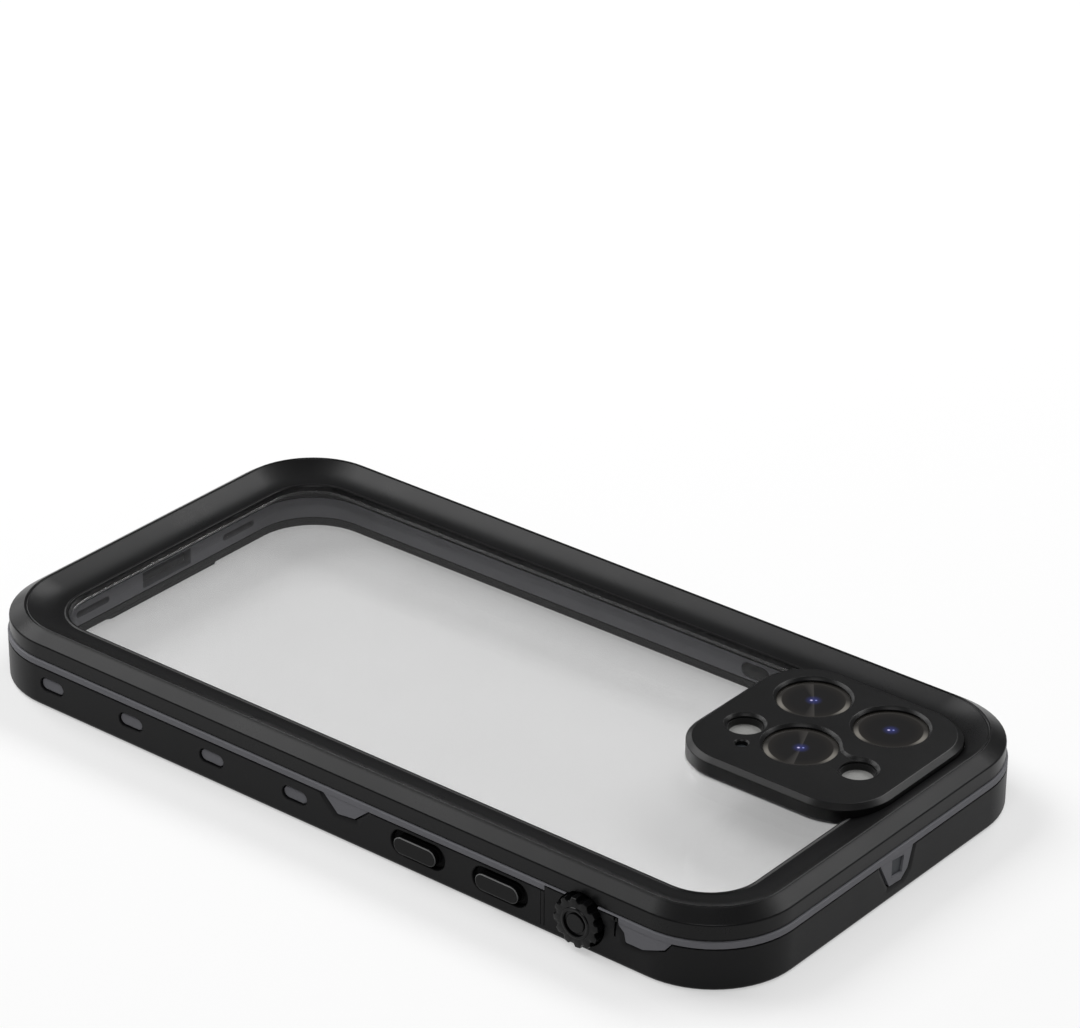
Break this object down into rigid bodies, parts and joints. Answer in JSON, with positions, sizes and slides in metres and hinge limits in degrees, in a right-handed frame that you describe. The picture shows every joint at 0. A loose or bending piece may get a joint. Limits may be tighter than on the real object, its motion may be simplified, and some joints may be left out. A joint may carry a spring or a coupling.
{
  "type": "waterproof phone case",
  "caption": "Two-part sealed case with a clear back, camera plate, push buttons, a turning mute knob and a hinged port cover.",
  "frame": {"origin": "centre of the front rim's face, on which the case lies", "axes": "+X along the case to its camera end, +Y to the power button's side, +Z out of the clear back"},
  "size_m": [0.1601, 0.0861, 0.013],
  "materials": {
    "black_shell": "fine satin black moulding",
    "black_bezel": "smooth satin black moulding",
    "grey_rubber": "soft matt grey rubber",
    "black_rubber": "matt black sealing rubber",
    "clear_plastic": "clear gloss sheet",
    "clear_film": "thin clear gloss film",
    "lens_glass": "clear coated glass",
    "membrane": "fine dark acoustic membrane",
    "pin_steel": "plain drawn pin"
  },
  "bodies": {
    "case": {"front_frame": "black_shell", "soft_liner": "grey_rubber", "screen_film": "clear_film", "screen_gasket": "black_rubber", "earpiece_membrane": "membrane", "speaker_membrane_left": "membrane", "speaker_membrane_right": "membrane", "top_membrane": "membrane", "volume_up_ring": "black_rubber", "volume_down_ring": "black_rubber", "power_ring": "black_rubber", "mute_ring": "black_rubber", "port_hinge_pin": "pin_steel"},
    "rear_cover": {"rear_frame": "black_bezel", "rear_window": "clear_plastic", "main_seal": "black_rubber", "camera_plate": "black_bezel", "lens_window_main": "lens_glass", "lens_window_wide": "lens_glass", "lens_window_tele": "lens_glass", "flash_window": "lens_glass", "sensor_window": "lens_glass", "microphone_membrane": "membrane"},
    "volume_up": {"volume_up_button": "black_shell", "volume_up_plunger": "black_shell"},
    "volume_down": {"volume_down_button": "black_shell", "volume_down_plunger": "black_shell"},
    "power": {"power_button": "black_shell", "power_plunger": "black_shell"},
    "mute": {"mute_knob": "black_shell", "mute_fork": "black_shell"},
    "port_lid": {"port_cover": "black_shell", "port_plug": "grey_rubber"}
  },
  "joints": [
    {"name": "rear_cover_lift", "type": "slide", "parent": "case", "child": "rear_cover", "axis": [0, 0, 1], "range_m": [0, 0.03]},
    {"name": "volume_up_press", "type": "slide", "parent": "case", "child": "volume_up", "axis": [0, 1, 0], "range_m": [0, 0.0006], "stiffness_N_per_m": 400, "springref_m": -0.0005},
    {"name": "volume_down_press", "type": "slide", "parent": "case", "child": "volume_down", "axis": [0, 1, 0], "range_m": [0, 0.0006], "stiffness_N_per_m": 400, "springref_m": -0.0005},
    {"name": "power_press", "type": "slide", "parent": "case", "child": "power", "axis": [0, -1, 0], "range_m": [0, 0.0006], "stiffness_N_per_m": 400, "springref_m": -0.0005},
    {"name": "mute_knob_turn", "type": "hinge", "parent": "case", "child": "mute", "pos_m": [0.0512, -0.0418, 0.00525], "axis": [0, -1, 0], "range_deg": [0, 50]},
    {"name": "port_cover_open", "type": "hinge", "parent": "case", "child": "port_lid", "pos_m": [-0.0784, 0, 0.0019], "axis": [0, -1, 0], "range_deg": [0, 80]}
  ]
}
